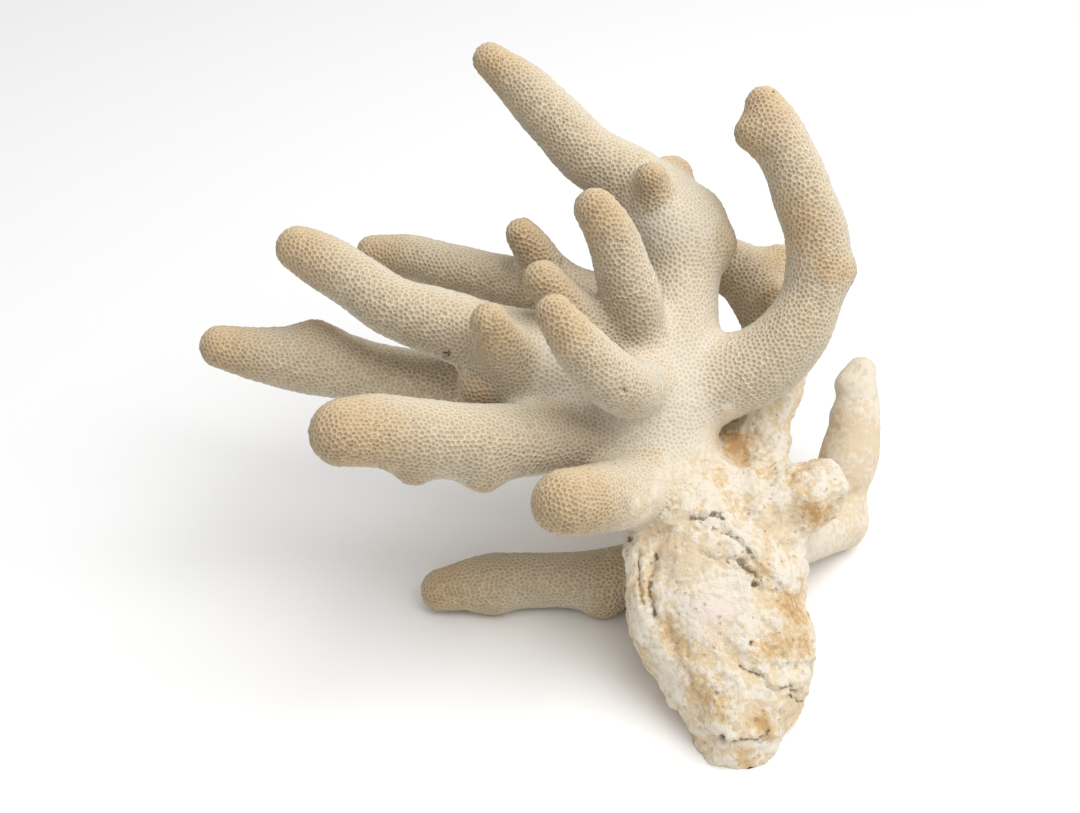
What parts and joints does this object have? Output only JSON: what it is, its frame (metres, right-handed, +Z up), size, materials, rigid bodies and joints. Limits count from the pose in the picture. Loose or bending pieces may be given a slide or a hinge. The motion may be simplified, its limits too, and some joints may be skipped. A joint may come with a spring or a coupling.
{
  "type": "branching coral",
  "caption": "Branching finger coral skeleton: blunt pitted fingers spread from a worn, chalky stump that is cut flat to rest on, with a hooked finger at its side.",
  "frame": {"origin": "on the surface the coral lies on, under the middle of its bounding box", "axes": "+Z up from the resting surface; +X to the right and along the coral's longest side, from the far left fingertip to the hooked finger; -Y towards the broken end of the stump and the viewer"},
  "size_m": [0.2155, 0.1628, 0.1471],
  "materials": {
    "pitted_skeleton": "dry cream-tan coral skeleton, covered with close hexagonal pits",
    "worn_skeleton": "chalky white eroded coral skeleton with ochre stains, lumps and cracks"
  },
  "bodies": {
    "root": {"stump": "worn_skeleton", "trunk": "pitted_skeleton", "tall_finger": "pitted_skeleton", "hooked_finger": "pitted_skeleton", "upright_finger": "pitted_skeleton", "front_finger": "pitted_skeleton", "upper_left_finger": "pitted_skeleton", "far_left_finger": "pitted_skeleton", "lower_left_finger": "pitted_skeleton", "rear_left_finger": "pitted_skeleton", "rear_short_finger": "pitted_skeleton", "resting_finger": "pitted_skeleton", "thumb": "pitted_skeleton", "back_stem": "worn_skeleton", "rear_right_finger": "pitted_skeleton", "right_finger": "worn_skeleton", "rear_low_finger": "pitted_skeleton", "rear_mid_finger": "pitted_skeleton"}
  },
  "joints": []
}
